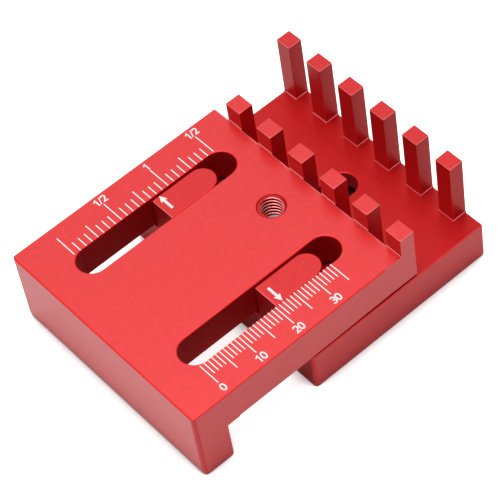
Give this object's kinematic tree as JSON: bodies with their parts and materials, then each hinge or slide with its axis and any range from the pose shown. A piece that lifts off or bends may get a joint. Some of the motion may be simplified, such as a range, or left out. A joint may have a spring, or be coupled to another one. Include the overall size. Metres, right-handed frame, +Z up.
{
  "type": "sliding gap gauge",
  "caption": "Pocket gap and depth gauge: a footed upper plate with scale slots slides over a lower plate, with square pin rows, locked by a clamp screw.",
  "frame": {"origin": "middle of the bounding box at the base, with the gauge set to its resting reading of 22.4 mm", "axes": "+X from the foot towards the pins, the way the lower plate slides out; +Y from the metric scale towards the inch scale; +Z up out of the face with the scales"},
  "size_m": [0.0782, 0.0584, 0.0266],
  "materials": {
    "upper_plate": "red anodised, satin, fine-blasted, white scale marks",
    "lower_plate": "red anodised, satin, fine-blasted, white pointers",
    "clamp_screw": "bright zinc",
    "clamp_knob": "knurled, nickel",
    "clamp_washer": "bright zinc"
  },
  "bodies": {
    "upper": {"upper_plate": "upper_plate"},
    "lower": {"lower_plate": "lower_plate"},
    "washer": {"clamp_washer": "clamp_washer"},
    "knob": {"clamp_knob": "clamp_knob", "clamp_screw": "clamp_screw"}
  },
  "joints": [
    {"name": "gap_slide", "type": "slide", "parent": "upper", "child": "lower", "axis": [1, 0, 0], "range_m": [-0.0184, 0.0053]},
    {"name": "clamp_travel", "type": "slide", "parent": "upper", "child": "washer", "axis": [0, 0, 1], "range_m": [-0.001, 0.0005]},
    {"name": "clamp_turn", "type": "hinge", "parent": "washer", "child": "knob", "pos_m": [0.00725, 0, 0.002], "axis": [0, 0, 1], "range_deg": [-361, 181]}
  ],
  "couplings": [
    {"joint": "clamp_turn", "follows": "clamp_travel", "rad_per_m": 6283.2}
  ]
}
